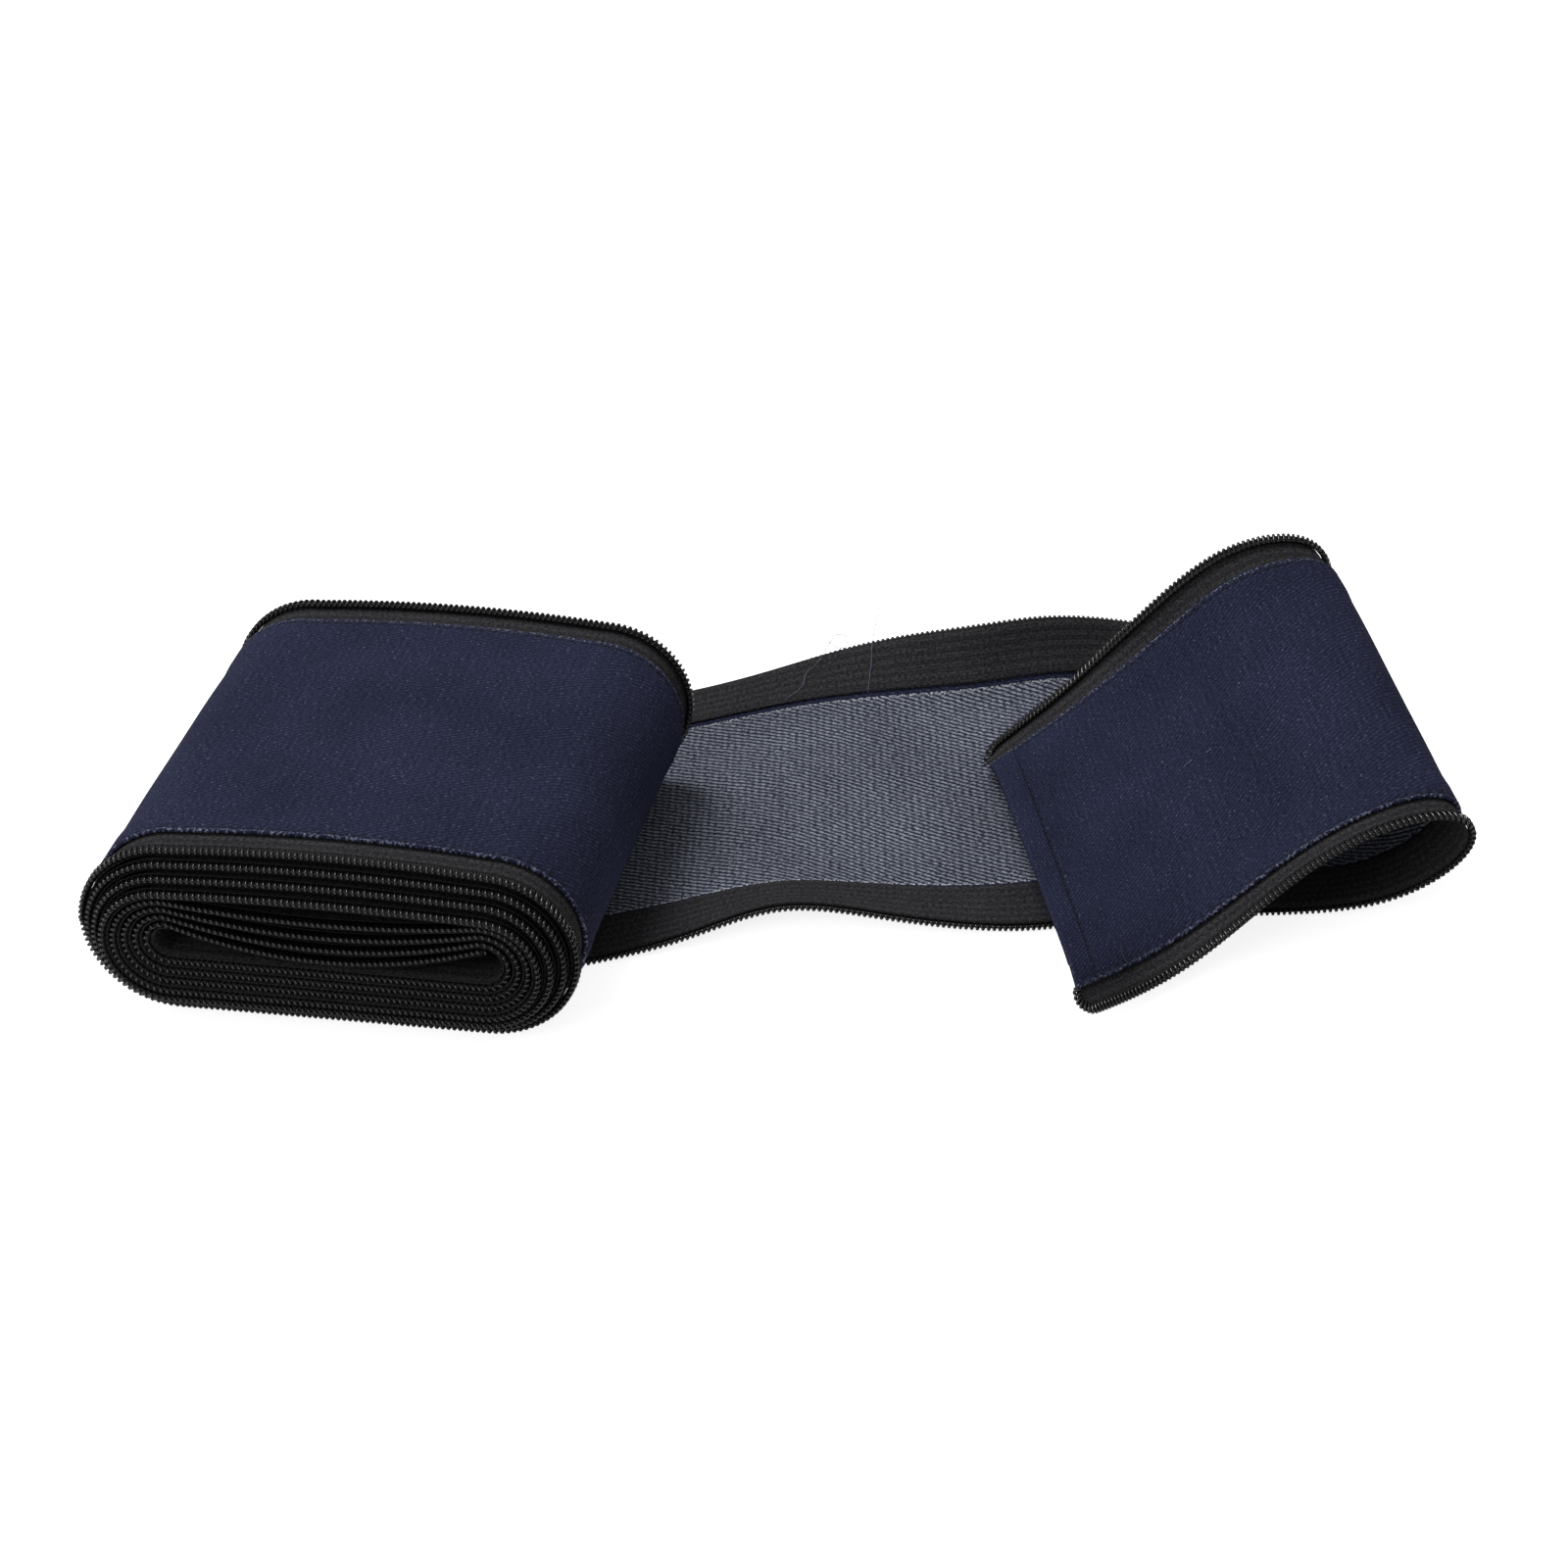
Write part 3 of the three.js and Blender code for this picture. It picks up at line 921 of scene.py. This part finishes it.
@dataclass(frozen=True)
class EndCurl:
    """How a coil turns inwards and down round the corner of the strip's outer end."""

    path: StripPath
    edge: Edge
    radius: float = 6.0
    centre: float = 1.65

    @property
    def start(self) -> float:
        """The length where the curl starts."""
        return self.path.length - self.radius - 0.6

    @property
    def sweep(self) -> float:
        """The angle that the coil turns through: most at the front corner."""
        return 2.1 if self.edge is Edge.FRONT else 1.35

    @property
    def drop(self) -> float:
        """How far the coil's end lies below the coil: it goes well under at the back corner."""
        return 1.0 if self.edge is Edge.FRONT else 3.4

    def inset(self, lengths: np.ndarray) -> np.ndarray:
        """Gives how far in the curl's arc lies at lengths along the strip: a quarter circle."""
        gone = np.clip((lengths - self.start) / self.radius, 0, 1)
        return self.centre + self.radius * (1 - np.sqrt(1 - gone**2))

    def points(self, gone: np.ndarray, aside: np.ndarray, depth: np.ndarray) -> np.ndarray:
        """Places points of a coil that runs straight and then round the arc.

        Args:
            gone: lengths along the coil.
            aside: distances inwards from its middle line.
            depth: depths before the coil goes down.

        Returns:
            Points in space, along one more axis.
        """
        angle = np.clip((gone - self.start) / self.radius, 0, self.sweep)
        length = np.minimum(gone, self.start) + (self.radius - aside) * np.sin(angle)
        inset = self.centre + self.radius * (1 - np.cos(angle)) + aside * np.cos(angle)
        across = self.edge.across(self.path.width, inset)
        return self.path.points(length, across, depth - self.drop * smooth(angle, 0.4, 1.6))


@dataclass
class ZipTape:
    """A woven tape along one edge, under the denim. Its outer edge follows the coil's end curl."""

    path: StripPath
    edge: Edge
    outer: float = 1.2
    inner: float = 17.0
    thickness: float = 0.5
    rim_share: float = 0.12
    ridge_height: float = 0.16
    ridge_inset: float = 4.4
    ridge_width: float = 0.5
    points_across: int = 12

    def build(self, material: bpy.types.Material, curl: EndCurl) -> bpy.types.Object:
        """Makes the tape: a thin section with rounded edges and a ridge, carried along the strip.

        Args:
            material: the tape's material.
            curl: the curl at the strip's outer end.

        Returns:
            The tape.
        """
        share = np.linspace(0, 1, self.points_across)
        share = share + 0.03 * np.sin(2 * np.pi * share)
        rim = np.zeros(self.points_across)
        rim[[0, -1]] = self.rim_share * self.thickness
        top = self.thickness - rim
        fine, end = self.path.fine_start, self.path.length - 0.9
        lengths = np.concatenate(
            [
                np.linspace(0.4, fine, 640, endpoint=False),
                np.linspace(fine, end - 13.1, 260, endpoint=False),
                np.linspace(end - 13.1, end, 16),
            ]
        )
        outer = np.maximum(self.outer, curl.inset(lengths) - 0.4)
        inset = outer[:, None] + (self.inner - outer[:, None]) * share[None]
        inset = np.concatenate([inset, inset[:, ::-1]], axis=1)
        across = self.edge.across(self.path.width, inset)
        depth = np.concatenate([top, rim[::-1]])
        ridge = self.ridge_height * np.exp(-(((inset - self.ridge_inset) / self.ridge_width) ** 2))
        depth = depth + ridge * (depth > self.thickness / 2)
        points = self.path.points(lengths[:, None], across, depth)
        faces = [grid_faces(*inset.shape), end_faces(*inset.shape)]
        if self.edge is Edge.FRONT:
            faces = [part[:, ::-1] for part in faces]
        pattern = np.stack([inset, np.broadcast_to(lengths[:, None], inset.shape)], axis=-1)
        mesh = Mesh(points.reshape(-1, 3), faces, pattern.reshape(-1, 2) * MILLIMETRE)
        return mesh.build(f"{self.edge.value}_tape_cloth", [material])


@dataclass
class ZipCoil:
    """A coil of nylon teeth along one edge: a long flattened helix of round wire on a cord."""

    path: StripPath
    edge: Edge
    pitch: float = 1.5
    half_width: float = 1.2
    half_height: float = 0.44
    depth: float = 1.56
    wire: float = 0.4
    corner_across: float = 0.75
    corner_up: float = 0.4
    head_swell: float = 0.16
    head_width: float = 0.35
    samples: int = 12
    sides: int = 5

    def build(self, material: bpy.types.Material, curl: EndCurl) -> bpy.types.Object:
        """Makes the coil.

        Across and up, the wire follows an ellipse with its corners filled out, one round to a
        tooth, while it goes along by the pitch. It is thicker at the tooth's outer head.

        Args:
            material: the coil's material.
            curl: the curl at the strip's outer end.

        Returns:
            The coil.
        """
        track = self.path.line(self.edge.across(self.path.width, curl.centre))
        total = track[-1] + curl.start + curl.radius * curl.sweep - self.path.length
        turns = np.arange(int(total / self.pitch) * self.samples) / self.samples
        phase = 2 * np.pi * turns
        gone = np.interp(turns * self.pitch, track, self.path.along)
        gone += np.maximum(0, turns * self.pitch - track[-1])
        outward = np.sign(np.cos(phase)) * np.abs(np.cos(phase)) ** self.corner_across
        upward = np.sign(np.sin(phase)) * np.abs(np.sin(phase)) ** self.corner_up
        aside = -self.half_width * outward
        centres = curl.points(gone, aside, self.depth + self.half_height * upward)
        middle = np.full(gone.shape, self.depth)
        ahead, behind = (curl.points(gone + step, aside * 0, middle) for step in (0.2, -0.2))
        head = self.head_swell * np.exp(-(((outward - 1) / self.head_width) ** 2))
        mesh = tube(centres, ahead - behind, self.wire * (1 + head), self.sides)
        return mesh.build(f"{self.edge.value}_coil_teeth", [material])


@dataclass
class CoilCord:
    """The cord inside a coil and the sewing that holds the coil down on its tape."""

    path: StripPath
    edge: Edge
    insets: tuple[float, ...] = (1.1, 2.1, 2.7)
    depths: tuple[float, ...] = (1.3, 1.16, 2.28)
    radii: tuple[float, ...] = (0.54, 0.64, 0.14)
    waves: tuple[float, ...] = (0.0, 0.0, 0.1)
    pitch: float = 1.5

    def build(self, material: bpy.types.Material, curl: EndCurl) -> bpy.types.Object:
        """Makes the cord's two strands and the sewing, which dips between the teeth as a sine.

        Args:
            material: the thread's material.
            curl: the curl at the strip's outer end.

        Returns:
            The cord and the sewing as one piece.
        """
        gone = np.arange(0.6, self.path.length - 0.3, self.pitch / 3)[None]
        inset, depth, radius, wave = (
            np.array(values)[:, None] for values in (self.insets, self.depths, self.radii, self.waves)
        )
        depths = depth + wave * np.sin(gone * 2 * np.pi / self.pitch)
        track = curl.points(gone, inset - curl.centre, depths)
        mesh = tube(track, np.array([0.0, 1.0, 0.3]), radius, 4)
        return mesh.build(f"{self.edge.value}_coil_sewing", [material])


@dataclass
class Stitches:
    """A row of sewn stitches between two places on the strip."""

    path: StripPath
    name: str
    stitch: float = 2.5
    pitch: float = 3.1
    radius: float = 0.2
    rings: int = 6
    sides: int = 5

    def build(
        self,
        start: tuple[float, float],
        end: tuple[float, float],
        depth: float,
        material: bpy.types.Material,
    ) -> bpy.types.Object:
        """Makes the row: short tubes that rise and sink as half a sine, thin at their ends.

        Args:
            start, end: length and place across of the row's ends.
            depth: depth of the cloth's face there.
            material: the thread's material.

        Returns:
            The row.
        """
        first, last = np.array(start), np.array(end)
        total = float(np.linalg.norm(last - first))
        heading = (last - first) / total
        starts = np.arange(0.4, total - self.stitch, self.pitch)
        share = np.linspace(0, 1, self.rings)
        gone = starts[:, None] + share[None] * self.stitch
        places = first + gone[..., None] * heading
        rise = np.sin(np.pi * share)
        depths = depth + self.radius * (rise - 0.5)
        centres = self.path.points(places[..., 0], places[..., 1], depths[None])
        radius = self.radius * (0.45 + 0.55 * np.sqrt(rise))
        mesh = tube(centres, np.array([0.2, 0.3, 1.0]), radius[None], self.sides)
        return mesh.build(self.name, [material])


@dataclass
class LooseThread:
    """A fine thread that lies on the strip, or a bit of lint."""

    path: StripPath
    name: str
    places: tuple[tuple[float, float, float], ...]
    radius: float

    def build(self, material: bpy.types.Material) -> bpy.types.Object:
        """Makes the thread: a thin tube along a smooth line through its places.

        Each place is a length back from the strip's outer end, a place across and a depth. The
        line is a cubic blend of them, spaced by their number.

        Args:
            material: the thread's material.

        Returns:
            The thread.
        """
        knots = np.array(self.places)
        padded = np.concatenate([2 * knots[:1] - knots[1:2], knots, 2 * knots[-1:] - knots[-2:-1]])
        at = np.linspace(0, len(knots) - 1 - 1e-6, 10 * len(knots))
        span = at.astype(int)
        u = (at - span)[:, None]
        a, b, c, d = (padded[span + i] for i in range(4))
        line = 0.5 * (
            2 * b + (c - a) * u + (2 * a - 5 * b + 4 * c - d) * u**2 + (3 * (b - c) + d - a) * u**3
        )
        centres = self.path.points(self.path.length - line[:, 0], line[:, 1], line[:, 2])
        mesh = tube(centres[None], np.array([0.3, 0.4, 1.0]), np.array(self.radius), 4)
        return mesh.build(self.name, [material])


@dataclass
class Studio:
    """White floor and surroundings, soft lights and the camera."""

    camera_from: tuple[float, float, float] = (140.9, -651.9, 530.0)
    heading: tuple[float, float] = (-0.2290, 0.9734)
    down: float = 37.36
    lens: float = 71.35
    ambient: float = 0.3
    floor_glow: float = 0.82
    floor_half: float = 4000.0
    floor_gap: float = 0.05

    def camera(self) -> None:
        """Places the camera, which looks down at the sleeve."""
        camera = bpy.data.objects.new("camera", bpy.data.cameras.new("camera"))
        camera.data.lens = self.lens
        camera.data.sensor_width = 36.0
        camera.data.clip_start = 0.01
        tilt = math.radians(self.down)
        look = Vector((*(math.cos(tilt) * part for part in self.heading), -math.sin(tilt)))
        camera.rotation_euler = look.to_track_quat("-Z", "Y").to_euler()
        camera.location = Vector(self.camera_from) * MILLIMETRE
        bpy.context.scene.collection.objects.link(camera)
        bpy.context.scene.camera = camera

    def floor(self) -> bpy.types.Object:
        """Makes the floor: a large sheet that fades into the white surroundings."""
        half, z = self.floor_half, -self.floor_gap
        corners = np.array([[-half, -half, z], [half, -half, z], [half, half, z], [-half, half, z]])
        mesh = Mesh(corners, [np.array([[0, 1, 2, 3]])])
        material, shading, shader = new_material(
            "white floor",
            Base_Color=(0.9, 0.9, 0.9, 1.0),
            Roughness=0.9,
            Specular_IOR_Level=0.1,
            Emission_Color=(1.0, 1.0, 1.0, 1.0),
        )
        rays = shading.add("ShaderNodeLightPath").outputs
        glow = shading.math("MULTIPLY", rays["Is Camera Ray"], self.floor_glow)
        shading.put(shader.inputs["Emission Strength"], glow)
        return mesh.build("studio_floor", [material])

    def world(self) -> None:
        """Makes the surroundings: white where they are seen, and an even soft light."""
        world = bpy.data.worlds.new("studio")
        bpy.context.scene.world = world
        world.use_nodes = True
        shading = Shading(world.node_tree)
        background = world.node_tree.nodes["Background"]
        background.inputs["Color"].default_value = (1.0, 1.0, 1.0, 1.0)
        rays = shading.add("ShaderNodeLightPath").outputs
        seen = shading.math("MAXIMUM", rays["Is Camera Ray"], rays["Is Transmission Ray"])
        strength = shading.math("MULTIPLY_ADD", seen, 1.0 - self.ambient, self.ambient)
        shading.put(background.inputs["Strength"], strength)

    def light(self, name: str, place: tuple[float, float, float], size: float, power: float) -> None:
        """Adds a soft square lamp that faces the sleeve.

        Args:
            name: the lamp's name.
            place: where it stands, in metres.
            size: its side in metres.
            power: its power in watts.
        """
        lamp = bpy.data.objects.new(name, bpy.data.lights.new(name, "AREA"))
        lamp.data.size = size
        lamp.data.energy = power
        lamp.location = place
        lamp.rotation_euler = (-Vector(place)).to_track_quat("-Z", "Y").to_euler()
        bpy.context.scene.collection.objects.link(lamp)

    def build(self) -> None:
        """Sets up the whole studio."""
        scene = bpy.context.scene
        scene.view_settings.view_transform = "Standard"
        self.camera()
        self.world()
        self.floor()
        self.light("overhead", (-0.5, 0.35, 1.2), 0.6, 11.0)
        self.light("front_fill", (-0.8, -1.1, 0.8), 0.7, 4.0)


@dataclass
class CableSleeve:
    """The whole sleeve, with its finishes."""

    path: StripPath = field(default_factory=StripPath)
    cloth: DenimStrip = field(init=False)

    def __post_init__(self) -> None:
        """Puts the cloth on the path and makes the materials."""
        self.cloth = DenimStrip(self.path)
        self.finishes()

    def finishes(self) -> None:
        """Makes the materials."""
        twill = twill_group()
        denim = self.cloth
        self.denim = {
            Face.DARK: DenimFinish(
                name="indigo denim",
                valley=srgb(27, 29, 47),
                crest=srgb(65, 70, 99),
                fleck=srgb(132, 137, 158),
                rib=1.3,
                slant=0.5,
                depth=0.5,
                contrast=1.0,
                relief=0.5,
                edges=(denim.edge, self.path.width - denim.edge),
                edge_glint=0.75,
            ).material(twill),
            Face.LIGHT: DenimFinish(
                name="light denim",
                valley=srgb(24, 31, 52),
                crest=srgb(152, 156, 167),
                fleck=srgb(214, 217, 224),
                rib=1.5,
                slant=0.5,
                depth=1.0,
                contrast=1.4,
                relief=0.8,
                edges=(denim.turned_edge, self.path.width - denim.turned_edge),
                edge_glint=1.0,
            ).material(twill),
        }
        self.tape = TapeFinish().material()
        self.nylon = NylonFinish().material()
        self.navy = ThreadFinish("navy thread", srgb(14, 15, 26), srgb(34, 37, 56)).material()
        self.black = ThreadFinish("black thread", srgb(9, 9, 10), srgb(24, 24, 26)).material()
        self.pale = ThreadFinish("pale thread", srgb(96, 102, 130), srgb(150, 156, 180)).material()

    def build(self) -> None:
        """Makes every piece and places it on the frame."""
        cloth = self.cloth.build(self.denim)
        on_cloth = []
        for edge in Edge:
            curl = EndCurl(self.path, edge)
            tape = ZipTape(self.path, edge).build(self.tape, curl)
            coil = ZipCoil(self.path, edge).build(self.nylon, curl)
            sewing = CoilCord(self.path, edge).build(self.black, curl)
            seam = self.seam(edge)
            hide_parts(f"{edge.value}_tape")
            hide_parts(f"{edge.value}_coil")
            for piece, slot in ((tape, "tape"), (coil, "coil"), (sewing, "tape"), (seam, "denim")):
                self.place(piece, slot)
            on_cloth += [tape, coil, sewing, seam]
        hem = Stitches(self.path, "outer_hem_thread").build(
            (self.cloth.hem_seam, self.cloth.edge + 1),
            (self.cloth.hem_seam, self.path.width - self.cloth.edge - 1),
            self.cloth.single_depths[1] - self.cloth.hem_thread_sink,
            self.navy,
        )
        self.place(hem, "denim")
        on_cloth.append(hem)
        on_cloth += self.loose_threads()
        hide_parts("denim_strip")
        self.place(cloth, "denim")

    def loose_threads(self) -> list[bpy.types.Object]:
        """Makes the two loose threads on the tape, two bits of lint and one bent stitch.

        Returns:
            The threads.
        """
        straight = (
            *((286, 97.5, 0.3), (285.5, 101, -0.4), (284.5, 107, -0.8), (284, 112, -1.6)),
            *((282.8, 117, -2.4), (281.4, 122, -3.2), (281, 127, -4.2)),
        )
        curly = (
            *((311, 99, -0.3), (306, 103, -0.5), (304.5, 107.7, -0.8), (301, 110.7, -1.0)),
            *((297.4, 115.5, -1.6), (295, 118, -2.0), (291.5, 116, -2.2)),
            *((292.4, 113, -1.8), (295, 114, -1.6), (298, 117, -2.0)),
        )
        lines = (
            ("straight_thread", straight, 0.09, self.pale),
            ("curly_thread", curly, 0.09, self.pale),
            ("lint_dash", ((58.5, 59.5, 1.65), (60, 59.8, 1.75), (61.5, 60, 1.65)), 0.12, self.pale),
            ("lint_speck", ((66, 59, 1.65), (66.8, 59, 1.75), (67.6, 59, 1.65)), 0.12, self.pale),
            ("bent_stitch", ((22, 18, 1.6), (21.3, 13.5, 2.0), (22.3, 10, 2.0)), 0.28, self.navy),
        )
        pieces = []
        for name, places, radius, material in lines:
            piece = LooseThread(self.path, name, places, radius).build(material)
            self.place(piece, "denim")
            pieces.append(piece)
        return pieces

    def seam(self, edge: Edge) -> bpy.types.Object:
        """Makes the seam that holds the denim's turned edge to a tape."""
        width = self.path.width
        across = edge.across(width, self.cloth.edge + self.cloth.seam_inset)
        depth = self.cloth.top_depth - self.cloth.seam_groove + self.cloth.seam_thread_rise
        return Stitches(self.path, f"{edge.value}_seam_thread").build(
            (2.0, across), (self.path.length - 1.0, across), depth, self.navy
        )

    @staticmethod
    def place(piece: bpy.types.Object, slot: str) -> None:
        """Makes a piece ride on the body."""
        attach(piece, "root")
        LOG.info("%s: %d faces", piece.name, len(piece.data.polygons))


def main() -> None:
    """Builds the studio and the sleeve on the frame."""
    logging.basicConfig(level=logging.INFO, format="%(message)s")
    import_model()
    Studio().build()
    CableSleeve().build()
    LOG.info("boxes written")


if __name__ == "__main__":
    main()
